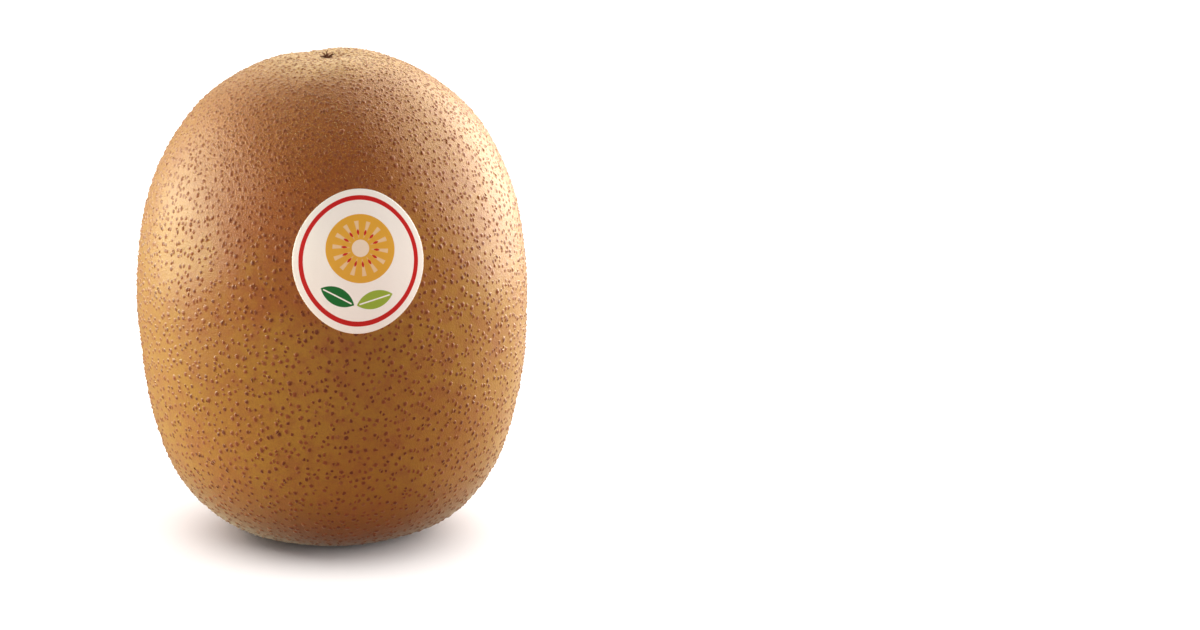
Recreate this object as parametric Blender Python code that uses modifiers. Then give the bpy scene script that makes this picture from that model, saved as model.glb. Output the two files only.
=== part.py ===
"""A whole gold kiwi fruit that stands on its stalk end, with the dried flower remnant and a stuck-on label.

The origin is on the ground under the fruit's middle. The label faces -Y.
"""

import math

import bmesh
import bpy
import numpy as np

# Sizes of the fruit, in metres
WIDTH = 0.0540
DEPTH = 0.0509
HEIGHT = 0.0681
WIDEST_HEIGHT = 0.0338
CROWN_POWER = 2.25
BASE_POWER = 3.0
BASE_TAPER = 0.052
TAPER_EASE = 0.12

# The flat spot underneath and the round scar of the stalk in it
SPOT_RADIUS = 0.0075
SCAR_RADIUS = 0.0034
SCAR_WALL = 0.0005
SCAR_DEPTH = 0.0005

# The dimple at the crown and the low lobes round it
DIMPLE_X = -0.0007
DIMPLE_RADIUS = 0.0034
DIMPLE_DEPTH = 0.00065
LOBES = 3
LOBE_RADIUS = 0.0065
LOBE_HEIGHT = 0.00025
LOBE_TURN = math.radians(60)

# The raised dots of the skin, larger than life
DOTS = 1040
DOT_SIDES = 4
DOT_RADIUS = 0.00085
DOT_HEIGHT = 0.00030
DOT_SCATTER = 0.00050
BARE_BASE_RADIUS = 0.0100
BARE_CROWN_RADIUS = 0.0066
SEED = 11

# Smooth rings of the skin round the crown and the base, each a radius and its number of points
CROWN_RINGS = ((0.0012, 8), (0.0024, 14), (0.0037, 20), (0.0052, 26))
BASE_RINGS = (
    (SCAR_RADIUS - SCAR_WALL, 20),
    (SCAR_RADIUS, 24),
    ((SCAR_RADIUS + SPOT_RADIUS) / 2, 24),
    (SPOT_RADIUS, 30),
    ((SPOT_RADIUS + BARE_BASE_RADIUS) / 2, 30),
)

# The label, a thin oval laid on the skin
LABEL_WIDTH = 0.0178
LABEL_TALLNESS = 0.0192
LABEL_THICKNESS = 0.0003
LABEL_X = 0.0035
LABEL_Z = 0.0448
LABEL_TURN = math.radians(-6)
LABEL_CELLS = 14
LABEL_MARGIN = 0.0013

# The dried flower remnant: a small lobed button with a star of withered strands
BUTTON_RADIUS = 0.00085
BUTTON_HEIGHT = 0.00046
BUTTON_LOBES = 5
BUTTON_LOBE_SHARE = 0.1
STRANDS = 9
STRAND_LENGTH = 0.00110
STRAND_RADIUS = 0.00016
STRAND_TIP_SHARE = 0.45
STRAND_POINTS = 4
STRAND_LIFT = (math.radians(6), math.radians(32))
STRAND_CURL = math.radians(17)
STRAND_SPREAD = 0.25

# What touching pieces keep between them
GAP = 0.0003

# How many points the outline is read at where a formula is inverted
SAMPLES = 2000

GOLDEN_ANGLE = math.pi * (3 - math.sqrt(5))
MIDDLE = np.array((0.0, 0.0, WIDEST_HEIGHT))

# How far the whole outline would reach below the flat spot that cuts it
SPOT_SHARE = 2 * SPOT_RADIUS / (WIDTH * (1 - BASE_TAPER * (1 - TAPER_EASE)))
SPOT_CUT = WIDEST_HEIGHT * ((1 - SPOT_SHARE**BASE_POWER) ** (-1 / BASE_POWER) - 1)


def unit(vectors):
    """The vectors at length one."""
    return vectors / np.linalg.norm(vectors, axis=-1, keepdims=True)


def skin(directions):
    """Points of the smooth skin, one for each unit direction from the fruit's middle.

    The outline is a superellipse above the widest height and a fuller, slightly tapered one below it. The
    crown has a soft dimple with low lobes round it. The base is cut level at the ground and holds the scar.
    """
    across = np.hypot(directions[:, 0], directions[:, 1])
    along = directions[:, 2]
    is_crown = along > 0
    power = np.where(is_crown, CROWN_POWER, BASE_POWER)
    reach = (across**power + np.abs(along) ** power) ** (-1 / power)
    drop = np.where(is_crown, 0, -along * reach)
    taper = 1 - BASE_TAPER * (np.hypot(drop, TAPER_EASE) - TAPER_EASE)
    x = directions[:, 0] * reach * taper * WIDTH / 2
    y = directions[:, 1] * reach * taper * DEPTH / 2
    half_height = np.where(is_crown, HEIGHT - WIDEST_HEIGHT, WIDEST_HEIGHT + SPOT_CUT)
    z = WIDEST_HEIGHT + along * reach * half_height

    from_dimple = np.hypot(x - DIMPLE_X, y)
    dimple = DIMPLE_DEPTH * np.exp(-((from_dimple / DIMPLE_RADIUS) ** 2))
    lobe_reach = (from_dimple / LOBE_RADIUS) ** 2
    lobe_wave = np.cos(LOBES * (np.arctan2(y, x - DIMPLE_X) - LOBE_TURN))
    crown = z - dimple + LOBE_HEIGHT * lobe_reach * np.exp(1 - lobe_reach) * lobe_wave

    from_stalk = np.hypot(x, y * WIDTH / DEPTH)
    scar = SCAR_DEPTH * np.clip((SCAR_RADIUS - from_stalk) / SCAR_WALL, 0, 1)
    base = np.where(from_stalk < 1.001 * SPOT_RADIUS, scar, np.maximum(z, 0))
    return np.column_stack((x, y, np.where(is_crown, crown, base)))


def tangents(directions):
    """Two unit vectors square to each direction: level, and up the fruit."""
    level = unit(np.column_stack((-directions[:, 1], directions[:, 0], np.zeros(len(directions)))))
    return level, np.cross(directions, level)


def outward(directions):
    """Unit normals of the smooth skin, from two small steps along it."""
    step = 1e-4
    level, up = tangents(directions)
    across = skin(unit(directions + step * level)) - skin(unit(directions - step * level))
    along = skin(unit(directions + step * up)) - skin(unit(directions - step * up))
    return unit(np.cross(across, along))


def direction(polar, azimuth):
    """Unit directions at an angle from +Z and an angle round it."""
    return np.column_stack((
        np.sin(polar) * np.cos(azimuth),
        np.sin(polar) * np.sin(azimuth),
        np.cos(polar),
    ))


def ring(radius, count, at_base):
    """Directions whose points of the skin lie evenly on one oval round the crown or the base."""
    from_pole = np.linspace(0.0, math.pi / 3, SAMPLES)
    polar = math.pi - from_pole if at_base else from_pole
    radii = skin(direction(polar, np.zeros(len(polar))))[:, 0]
    found = np.interp(radius, radii, polar)
    turn = 2 * math.pi * np.arange(count) / count + radius / SPOT_RADIUS
    return direction(np.full(count, found), turn)


def even_directions(count):
    """Directions spread evenly over the skin: a golden-angle spiral whose turns share the area equally."""
    polar = np.linspace(0.0, math.pi, SAMPLES)
    outline = skin(direction(polar, np.zeros(len(polar))))
    length = np.hypot(np.diff(outline[:, 0]), np.diff(outline[:, 2]))
    radii = (outline[1:, 0] + outline[:-1, 0]) / 2
    area = np.concatenate(([0.0], np.cumsum(length * radii)))
    shares = (np.arange(count) + 0.5) / count * area[-1]
    return direction(np.interp(shares, area, polar), GOLDEN_ANGLE * np.arange(count))


def dot_directions():
    """Directions of the dots' tips, scattered a little off the even spiral, clear of crown and base."""
    draw = np.random.default_rng(SEED)
    even = even_directions(DOTS)
    tips = unit(even + draw.uniform(-DOT_SCATTER, DOT_SCATTER, even.shape) / WIDEST_HEIGHT)
    points = skin(tips)
    bare = np.where(tips[:, 2] > 0, BARE_CROWN_RADIUS, BARE_BASE_RADIUS)
    return tips[np.hypot(points[:, 0], points[:, 1]) > bare]


def onto_skin(points):
    """Directions in which points near the upper half of the skin are drawn onto it, towards the middle."""
    return unit((points - MIDDLE) / (WIDTH / 2, DEPTH / 2, HEIGHT - WIDEST_HEIGHT))


def label_plane():
    """The middle of the label on the skin and its unit axes, sideways and up the skin, turned a little."""
    share = (LABEL_Z - WIDEST_HEIGHT) / (HEIGHT - WIDEST_HEIGHT)
    radius = WIDTH / 2 * (1 - share**CROWN_POWER) ** (1 / CROWN_POWER)
    front = -math.sqrt(radius**2 - LABEL_X**2) * DEPTH / WIDTH
    aim = onto_skin(np.array([(LABEL_X, front, LABEL_Z)]))
    normal = outward(aim)[0]
    level = unit(np.cross((0.0, 0.0, 1.0), normal))
    sideways = math.cos(LABEL_TURN) * level + math.sin(LABEL_TURN) * np.cross(normal, level)
    return skin(aim)[0], sideways, np.cross(normal, sideways)


def under_label(directions):
    """Whether each direction's point of the skin is under the label or within its margin."""
    middle, sideways, up = label_plane()
    away = skin(directions) - middle
    across = away @ sideways / (LABEL_WIDTH / 2 + LABEL_MARGIN)
    along = away @ up / (LABEL_TALLNESS / 2 + LABEL_MARGIN)
    in_front = away @ np.cross(sideways, up) > -DEPTH / 4
    return (np.hypot(across, along) < 1) & in_front


def material(name, colour, roughness):
    """A plain Principled material."""
    made = bpy.data.materials.new(name)
    made.use_nodes = True
    shader = made.node_tree.nodes["Principled BSDF"]
    shader.inputs["Base Color"].default_value = (*colour, 1.0)
    shader.inputs["Roughness"].default_value = roughness
    shader.inputs["Metallic"].default_value = 0.0
    return made


def add_object(name, mesh, collection, finish=None):
    """An object for the mesh, in the collection, with its own material."""
    made = bpy.data.objects.new(name, mesh)
    if finish:
        mesh.materials.append(finish)
    collection.objects.link(made)
    return made


def mesh_of(name, bm):
    """A smooth-shaded mesh from the bmesh, which is freed."""
    mesh = bpy.data.meshes.new(name)
    bm.to_mesh(mesh)
    bm.free()
    mesh.shade_smooth()
    return mesh


def evaluated_mesh(thing):
    """The object's mesh as it stands after its modifiers or its bevel."""
    graph = bpy.context.evaluated_depsgraph_get()
    return bpy.data.meshes.new_from_object(thing.evaluated_get(graph))


def make_fruit(collection):
    """The whole fruit: dots and smooth rings placed on a sphere, hulled, and moulded onto the skin.

    Each dot is a low pyramid: its tip stands off the skin, and its feet lie on the skin round it.
    """
    tips = dot_directions()
    level, up = tangents(tips)
    feet = []
    for side in range(DOT_SIDES):
        turn = 2 * math.pi * side / DOT_SIDES + np.arange(len(tips))[:, None]
        feet.append(unit(tips + DOT_RADIUS / WIDEST_HEIGHT * (np.cos(turn) * level + np.sin(turn) * up)))
    poles = direction(np.array([0.0, math.pi]), np.zeros(2))
    crown = [ring(radius, count, at_base=False) for radius, count in CROWN_RINGS]
    base = [ring(radius, count, at_base=True) for radius, count in BASE_RINGS]
    directions = np.concatenate([tips, *feet, poles, *crown, *base])

    moulded = skin(directions)
    height = np.where(under_label(tips), 0.0, DOT_HEIGHT)
    moulded[: len(tips)] += outward(tips) * height[:, None]

    bm = bmesh.new()
    for place in directions:
        bm.verts.new(place)
    bmesh.ops.convex_hull(bm, input=bm.verts)
    bmesh.ops.triangulate(bm, faces=bm.faces)
    for vert, place in zip(bm.verts, moulded):
        vert.co = place
    bmesh.ops.recalc_face_normals(bm, faces=bm.faces)
    mesh = mesh_of("fruit", bm)
    return add_object("fruit", mesh, collection, material("skin", (0.46, 0.25, 0.09), 0.5))


def make_label(collection):
    """The label: a grid drawn out to an oval, laid on the skin and thickened outwards."""
    middle, sideways, up = label_plane()
    bm = bmesh.new()
    bmesh.ops.create_grid(bm, x_segments=LABEL_CELLS, y_segments=LABEL_CELLS, size=1.0)
    square = np.array([vert.co[:2] for vert in bm.verts])
    across = square[:, 0] * np.sqrt(1 - square[:, 1] ** 2 / 2) * LABEL_WIDTH / 2
    along = square[:, 1] * np.sqrt(1 - square[:, 0] ** 2 / 2) * LABEL_TALLNESS / 2
    bend = WIDTH / 2
    flat = middle + bend * (np.tan(across / bend)[:, None] * sideways + np.tan(along / bend)[:, None] * up)
    aims = onto_skin(flat)
    for vert, place in zip(bm.verts, skin(aims) + GAP * outward(aims)):
        vert.co = place
    paper = material("label_paper", (0.90, 0.90, 0.88), 0.35)
    label = add_object("label", mesh_of("label", bm), collection, paper)
    thicken = label.modifiers.new("thickness", "SOLIDIFY")
    thicken.thickness = LABEL_THICKNESS
    thicken.offset = 1.0


def make_strand(index, foot, draw, collection):
    """One withered strand, a thin tapered tube that leaves the button and curls upwards."""
    azimuth = 2 * math.pi * (index + draw.uniform(-STRAND_SPREAD, STRAND_SPREAD)) / STRANDS
    lift = draw.uniform(*STRAND_LIFT)
    curl = draw.uniform(-STRAND_CURL, STRAND_CURL)
    length = STRAND_LENGTH * draw.uniform(1 - STRAND_SPREAD, 1 + STRAND_SPREAD)
    curve = bpy.data.curves.new("strand", "CURVE")
    curve.dimensions = "3D"
    curve.bevel_depth = STRAND_RADIUS
    curve.bevel_resolution = 1
    curve.use_fill_caps = True
    line = curve.splines.new("POLY")
    line.points.add(STRAND_POINTS - 1)
    for step, point in enumerate(line.points):
        share = step / (STRAND_POINTS - 1)
        out = BUTTON_RADIUS / 3 + length * share * math.cos(lift)
        height = foot + length * share * (math.sin(lift) + share / 5)
        turned = azimuth + curl * share
        point.co = (DIMPLE_X + out * math.cos(turned), out * math.sin(turned), height, 1.0)
        point.radius = 1 - (1 - STRAND_TIP_SHARE) * share
    guide = add_object("strand_line", curve, collection)
    bpy.context.view_layer.update()

    bm = bmesh.new()
    bm.from_mesh(evaluated_mesh(guide))
    bmesh.ops.remove_doubles(bm, verts=bm.verts, dist=1e-6)
    bmesh.ops.recalc_face_normals(bm, faces=bm.faces)
    bpy.data.objects.remove(guide)
    return add_object(f"strand_{index}", mesh_of(f"strand_{index}", bm), collection)


def make_flower_remnant(collection, pieces):
    """The dried flower remnant: a flat lobed button in the dimple, joined with its star of strands."""
    draw = np.random.default_rng(SEED)
    dimple = skin(onto_skin(np.array([(DIMPLE_X, 0.0, HEIGHT)])))[0]
    middle = dimple[2] + GAP + BUTTON_HEIGHT / 2
    bm = bmesh.new()
    bmesh.ops.create_uvsphere(bm, u_segments=16, v_segments=8, radius=1.0)
    for vert in bm.verts:
        wave = 1 + BUTTON_LOBE_SHARE * math.cos(BUTTON_LOBES * math.atan2(vert.co.y, vert.co.x))
        vert.co.x = DIMPLE_X + vert.co.x * BUTTON_RADIUS * wave
        vert.co.y = vert.co.y * BUTTON_RADIUS * wave
        vert.co.z = middle + vert.co.z * BUTTON_HEIGHT / 2
    button = add_object("button", mesh_of("button", bm), pieces)

    strands = bpy.data.collections.new("remnant_strands")
    pieces.children.link(strands)
    made = [make_strand(index, middle, draw, strands) for index in range(STRANDS)]
    join = button.modifiers.new("strands", "BOOLEAN")
    join.operation = "UNION"
    join.operand_type = "COLLECTION"
    join.collection = strands
    join.solver = "EXACT"
    bpy.context.view_layer.update()
    joined = evaluated_mesh(button)
    joined.shade_smooth()
    for piece in [button, *made]:
        bpy.data.objects.remove(piece)
    bpy.data.collections.remove(strands)
    add_object("flower_remnant", joined, collection, material("dry_flower", (0.035, 0.016, 0.010), 0.85))


def main():
    for thing in list(bpy.data.objects):
        bpy.data.objects.remove(thing)
    kiwi = bpy.data.collections.new("kiwi_fruit")
    pieces = bpy.data.collections.new("pieces_to_join")
    bpy.context.scene.collection.children.link(kiwi)
    bpy.context.scene.collection.children.link(pieces)
    make_fruit(kiwi)
    make_label(kiwi)
    make_flower_remnant(kiwi, pieces)
    bpy.data.collections.remove(pieces)


main()
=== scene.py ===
"""Dresses a whole gold kiwi fruit: dotted skin, crown fibres, stalk scar, dried flower tuft and oval label.

Every surface is worked out from the formula of the fruit's skin and a few sizes, in metres.
"""

import math

import bmesh
import bpy
import numpy as np
from mathutils import Matrix, Vector


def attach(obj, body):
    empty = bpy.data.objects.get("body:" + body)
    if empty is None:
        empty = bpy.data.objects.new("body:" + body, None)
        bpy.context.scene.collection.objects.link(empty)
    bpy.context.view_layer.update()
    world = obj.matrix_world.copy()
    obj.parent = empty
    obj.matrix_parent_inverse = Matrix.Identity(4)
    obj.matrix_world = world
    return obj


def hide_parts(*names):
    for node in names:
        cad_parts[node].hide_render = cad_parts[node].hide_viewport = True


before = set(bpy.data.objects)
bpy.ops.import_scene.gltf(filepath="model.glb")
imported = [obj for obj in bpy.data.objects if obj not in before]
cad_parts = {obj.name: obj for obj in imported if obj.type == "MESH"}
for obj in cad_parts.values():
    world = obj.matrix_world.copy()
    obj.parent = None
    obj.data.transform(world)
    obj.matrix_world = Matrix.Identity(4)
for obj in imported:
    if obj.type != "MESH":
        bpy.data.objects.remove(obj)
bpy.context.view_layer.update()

bl_info = {
    "name": "Gold Kiwi Fruit",
    "version": (1, 0, 0),
    "blender": (4, 5, 0),
    "location": "3D View > Sidebar > Kiwi Fruit",
    "description": "Makes the finished surfaces of a whole gold kiwi fruit with its label",
    "category": "Add Mesh",
}

MM = 0.001
GOLDEN_ANGLE = math.pi * (3 - math.sqrt(5))
OUTLINE_SAMPLES = 3000
LAMP_DISTANCE = 0.6
SUN_ANGLE = math.radians(170)
FLOOR_REACH = 3.0
SURROUND_STRENGTH = 0.05


def number(name, description, default, **kind):
    """A number for the sidebar, with its unit or subtype if it has one."""
    return bpy.props.FloatProperty(name=name, description=description, default=default, **kind)


def metres(name, description, default):
    """A length."""
    return number(name, description, default, unit="LENGTH")


def degrees(name, description, default):
    """An angle, given in degrees and kept in radians."""
    return number(name, description, math.radians(default), subtype="ANGLE")


def watts(name, description, default):
    """The power of a lamp."""
    return number(name, description, default, subtype="POWER")


def whole(name, description, default):
    """A whole number."""
    return bpy.props.IntProperty(name=name, description=description, default=default)


def rgb(name, description, default):
    """A colour in linear light."""
    return bpy.props.FloatVectorProperty(name=name, description=description, default=default, subtype="COLOR")


class KiwiForm(bpy.types.PropertyGroup):
    """The outline of the fruit's smooth skin."""

    width: metres("Width", "Largest width, left to right", 0.0540)
    depth: metres("Depth", "Largest depth, front to back", 0.0509)
    height: metres("Height", "Height of the outline at the crown", 0.0681)
    widest_height: metres("Widest Height", "Height at which the fruit is widest", 0.0338)
    crown_power: number("Crown Power", "How square the upper half's outline is", 2.25)
    base_power: number("Base Power", "How square the lower half's outline is", 3.0)
    base_taper: number("Base Taper", "How much the lower half narrows downwards", 0.052)
    taper_ease: number("Taper Ease", "Share of the lower half over which the taper sets in", 0.12)
    left_taper: number("Left Taper", "How much more the lower half narrows on the left", 0.025)
    spot_radius: metres("Spot Radius", "Radius of the flat spot underneath", 0.0075)
    scar_radius: metres("Scar Radius", "Radius of the stalk scar", 0.0034)
    scar_wall: metres("Scar Wall", "Width of the scar's sloping rim", 0.0005)
    scar_depth: metres("Scar Depth", "How far the scar is sunk", 0.0005)
    dimple_x: metres("Dimple X", "Where the crown dimple lies, left to right", -0.0007)
    dimple_radius: metres("Dimple Radius", "Radius of the crown dimple", 0.0034)
    dimple_depth: metres("Dimple Depth", "Depth of the crown dimple", 0.00065)
    lobes: whole("Lobes", "Low lobes round the dimple", 3)
    lobe_radius: metres("Lobe Radius", "Where the lobes are highest", 0.0065)
    lobe_height: metres("Lobe Height", "Height of the lobes", 0.00025)
    lobe_turn: degrees("Lobe Turn", "Angle of the first lobe", 60)
    swell: metres("Swell", "Height of the skin's broad waves", 0.00004)
    pucker: metres("Pucker", "Height of the fine folds that run into the dimple", 0.00005)


class KiwiSkin(bpy.types.PropertyGroup):
    """The dots and colours of the skin."""

    dots: whole("Dots", "Raised dots over the whole fruit", 11200)
    round_share: number("Round Share", "Share of the dots, the largest, that have a rounded shoulder", 0.3)
    dot_radius: metres("Dot Radius", "Usual radius of a dot's foot", 0.00036)
    dot_height: metres("Dot Height", "Usual height of a dot", 0.00015)
    reach: metres("Reach", "How far a dot may stand out at the widest place", 0.00022)
    scatter: metres("Scatter", "How far a dot may lie off the even spiral", 0.00072)
    seed: whole("Seed", "Seed of the scatter", 5)
    ground: rgb("Ground", "Golden skin between the dots", (0.330, 0.160, 0.018))
    warm: rgb("Warm Ground", "The browner patches of the golden skin", (0.300, 0.107, 0.016))
    # Laid mostly in a band left of the middle: partly the skin's own colour, partly painted shade of the
    # dimly lit front.
    upper: rgb("Upper Ground", "Orange-brown skin of the upper half", (0.273, 0.069, 0.009))
    # The cream at the crown is partly the skin's paler colour and partly painted light from above.
    crown: rgb("Crown", "Cream skin at the crown", (0.455, 0.235, 0.072))
    # Painted shade: the skin is darkened towards the ground, where the contact shade falls.
    base: rgb("Base", "Dark skin near the ground", (0.155, 0.031, 0.005))
    # The pale specks are partly painted glints of the fibres' and bumps' tips.
    speck: rgb("Speck", "Pale specks of the upper half", (0.42, 0.173, 0.034))
    halo: rgb("Halo", "Pinkish brown of the skin round a dot", (0.255, 0.078, 0.024))
    dot_pale: rgb("Pale Dot", "Colour of the palest dots", (0.255, 0.084, 0.025))
    dot_red: rgb("Red Dot", "Colour of most dots", (0.215, 0.047, 0.011))
    dot_dark: rgb("Dark Dot", "Colour of the darkest dots", (0.135, 0.026, 0.007))


class KiwiFibres(bpy.types.PropertyGroup):
    """The short pale fibres, thickest at the crown."""

    count: whole("Count", "Number of fibres", 6500)
    length: metres("Length", "Usual length of a fibre", 0.00042)
    radius: metres("Radius", "Radius of a fibre at its root", 0.000050)
    colour: rgb("Colour", "Colour of the fibres", (0.51, 0.28, 0.115))


class KiwiTuft(bpy.types.PropertyGroup):
    """The dried flower remnant in the dimple, and the stalk scar underneath."""

    button_radius: metres("Button Radius", "Radius of the dark button", 0.00056)
    button_height: metres("Button Height", "Height of the dark button", 0.00034)
    strands: whole("Strands", "Withered strands", 23)
    strand_length: metres("Strand Length", "Usual length of a strand", 0.00095)
    strand_radius: metres("Strand Radius", "Radius of a strand at its root", 0.00006)
    colour: rgb("Colour", "Colour of the remnant", (0.080, 0.024, 0.012))
    wood: rgb("Wood", "Colour of the stalk scar", (0.16, 0.085, 0.040))


class KiwiLabel(bpy.types.PropertyGroup):
    """The oval label and its printed motif."""

    width: metres("Width", "Width of the label", 0.0178)
    tallness: metres("Tallness", "Height of the label", 0.0192)
    x: metres("X", "Where the label's middle lies, left to right", 0.0035)
    z: metres("Z", "Height of the label's middle", 0.0448)
    turn: degrees("Turn", "How far the label is turned", -6)
    rise: metres("Rise", "Height of the label's face over the skin", 0.00016)
    paper: rgb("Paper", "Colour of the bare label", (0.93, 0.94, 0.95))
    gold: rgb("Gold", "The golden print", (0.74, 0.40, 0.035))
    red: rgb("Red", "The red print", (0.56, 0.008, 0.008))
    leaf: rgb("Leaf", "The dark green print", (0.010, 0.17, 0.035))
    shoot: rgb("Shoot", "The light green print", (0.31, 0.46, 0.045))


class KiwiStage(bpy.types.PropertyGroup):
    """The floor, the lights and the camera."""

    elevation: degrees("Elevation", "How high the camera looks from", 14)
    distance: metres("Distance", "From the camera to the fruit's middle", 0.512)
    lens: number("Lens", "Focal length in millimetres", 110.0)
    frame_width: number("Frame Width", "Width of the picture in its own pixels", 1200.0)
    from_centre: bpy.props.FloatVectorProperty(
        name="From Centre", description="Where the fruit's middle lies from the picture's, right and up",
        size=2, default=(-267.1, 21.2))
    left_power: watts("Left Power", "Power of the low panel on the left", 9.5)
    right_power: watts("Right Power", "Power of the panel behind on the right", 14.0)
    back_power: watts("Back Power", "Power of the high panel behind", 1.76)
    front_power: watts("Front Power", "Power of the broad panel in front", 1.86)
    floor_sun: number("Floor Sun", "Strength of the light that falls on the floor alone", 6.5)


def unit(vectors):
    """The vectors at length one."""
    return vectors / np.linalg.norm(vectors, axis=-1, keepdims=True)


def round_turn(count):
    """Angles that share out a full turn evenly, from 0."""
    return 2 * math.pi * np.arange(count) / count


def direction(polar, azimuth):
    """Unit directions at an angle from +Z and an angle round it."""
    polar, azimuth = np.broadcast_arrays(polar, azimuth)
    flat = np.sin(polar)
    return np.stack((flat * np.cos(azimuth), flat * np.sin(azimuth), np.cos(polar)), axis=-1)


def tangents(directions):
    """Two unit vectors square to each direction: level, and up the fruit."""
    zeros = np.zeros(directions.shape[:-1])
    level = unit(np.stack((-directions[..., 1], directions[..., 0] + 1e-12, zeros), axis=-1))
    return level, np.cross(directions, level)


def smooth_skin(directions):
    """Points of the smooth skin, one for each unit direction from the fruit's middle.

    Above the widest height the outline is a superellipse, and below it a fuller one that narrows a little,
    more so on the left. The crown sinks in a bell-shaped dimple with low lobes round it. The base is level
    inside the flat spot and steps up by the scar's depth inside the scar.
    """
    form = bpy.context.scene.kiwi_form
    across = np.hypot(directions[..., 0], directions[..., 1])
    along = directions[..., 2]
    is_crown = along > 0
    power = np.where(is_crown, form.crown_power, form.base_power)
    reach = (across**power + np.abs(along) ** power) ** (-1 / power)
    drop = np.where(is_crown, 0, -along * reach)
    taper = 1 - form.base_taper * (np.hypot(drop, form.taper_ease) - form.taper_ease)
    x = directions[..., 0] * reach * taper * form.width / 2
    x *= np.where(x < 0, 1 - form.left_taper * np.sin(np.minimum(drop * math.pi, math.pi / 2)) ** 2, 1)
    y = directions[..., 1] * reach * taper * form.depth / 2
    spot_share = 2 * form.spot_radius / (form.width * (1 - form.base_taper * (1 - form.taper_ease)))
    spot_cut = form.widest_height * ((1 - spot_share**form.base_power) ** (-1 / form.base_power) - 1)
    half_height = np.where(is_crown, form.height - form.widest_height, form.widest_height + spot_cut)
    z = form.widest_height + along * reach * half_height

    from_dimple = np.hypot(x - form.dimple_x, y)
    dimple = form.dimple_depth * np.exp(-((from_dimple / form.dimple_radius) ** 2))
    lobe_reach = (from_dimple / form.lobe_radius) ** 2
    lobe_wave = np.cos(form.lobes * (np.arctan2(y, x - form.dimple_x) - form.lobe_turn))
    crown = z - dimple + form.lobe_height * lobe_reach * np.exp(1 - lobe_reach) * lobe_wave

    from_stalk = np.hypot(x, y * form.width / form.depth)
    scar = form.scar_depth * np.clip((form.scar_radius - from_stalk) / form.scar_wall, 0, 1)
    base = np.where(from_stalk < form.spot_radius, scar, np.maximum(z, 0))
    return np.stack((x, y, np.where(is_crown, crown, base)), axis=-1)


def outward(directions):
    """Unit normals of the smooth skin, from two small steps along it."""
    step = 1e-4

    def rise(tangent):
        return smooth_skin(unit(directions + step * tangent)) - smooth_skin(unit(directions - step * tangent))

    level, up = tangents(directions)
    return unit(np.cross(rise(level), rise(up)))


def grown_skin(directions):
    """Points and normals of the skin with its broad waves and the fine folds at the crown.

    The waves are a sum of six sines along fixed slanting directions. The folds are a cosine round the
    dimple whose height rises and falls with the distance from it. Both stand off along the normal.
    """
    form = bpy.context.scene.kiwi_form
    points = smooth_skin(directions)
    normals = outward(directions)
    sines, folds_round = 6, 13
    turns = np.arange(sines)
    slants = direction(np.pi * (turns + 0.5) / sines, GOLDEN_ANGLE * turns)
    fineness = 7 + 2.3 * turns
    waves = np.sin(directions @ (slants * fineness[:, None]).T + turns).sum(axis=-1)

    x = points[..., 0] - form.dimple_x
    from_dimple = np.hypot(x, points[..., 1]) / form.dimple_radius
    azimuth = np.arctan2(points[..., 1], x)
    folds = np.cos(folds_round * azimuth + 2 * np.sin(3 * azimuth) + from_dimple)
    folds *= from_dimple * np.exp(1 - from_dimple) * (directions[..., 2] > 0)
    clear_of_ground = np.clip(points[..., 2] / (2 * MM), 0, 1)
    lift = clear_of_ground * (form.swell * waves + form.pucker * folds)
    return points + normals * lift[..., None], normals


def even_directions(count, weight):
    """Directions on a golden-angle spiral that share the skin's area equally, weighted by the height."""
    polar = np.linspace(0.0, math.pi, OUTLINE_SAMPLES)
    outline = smooth_skin(direction(polar, np.zeros(OUTLINE_SAMPLES)))
    length = np.hypot(np.diff(outline[:, 0]), np.diff(outline[:, 2]))
    radii = (outline[1:, 0] + outline[:-1, 0]) / 2
    heights = (outline[1:, 2] + outline[:-1, 2]) / 2
    strip = length * radii * weight(heights)
    area = np.concatenate(([0.0], np.cumsum(strip)))
    shares = (np.arange(count) + 0.5) / count * area[-1]
    return direction(np.interp(shares, area, polar), GOLDEN_ANGLE * np.arange(count))


def onto_skin(points):
    """Directions in which points near the upper half of the skin are drawn onto it, towards the middle."""
    form = bpy.context.scene.kiwi_form
    middle = np.array((0.0, 0.0, form.widest_height))
    return unit((points - middle) / (form.width / 2, form.depth / 2, form.height - form.widest_height))


def label_plane():
    """The middle of the label on the skin and its unit axes, sideways and up the skin, turned a little."""
    form = bpy.context.scene.kiwi_form
    label = bpy.context.scene.kiwi_label
    share = (label.z - form.widest_height) / (form.height - form.widest_height)
    radius = form.width / 2 * (1 - share**form.crown_power) ** (1 / form.crown_power)
    front = -math.sqrt(radius**2 - label.x**2) * form.depth / form.width
    aim = onto_skin(np.array([(label.x, front, label.z)]))
    normal = outward(aim)[0]
    level = unit(np.cross((0.0, 0.0, 1.0), normal))
    sideways = math.cos(label.turn) * level + math.sin(label.turn) * np.cross(normal, level)
    return smooth_skin(aim)[0], sideways, np.cross(normal, sideways)


def label_reach(points):
    """How far points lie from the label's middle as a share of its outline, and a large number behind."""
    far_away = 9.0
    form = bpy.context.scene.kiwi_form
    label = bpy.context.scene.kiwi_label
    middle, sideways, up = label_plane()
    away = points - middle
    reach = np.hypot(away @ sideways / (label.width / 2), away @ up / (label.tallness / 2))
    return np.where(away @ np.cross(sideways, up) > -form.depth / 4, reach, far_away)


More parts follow.
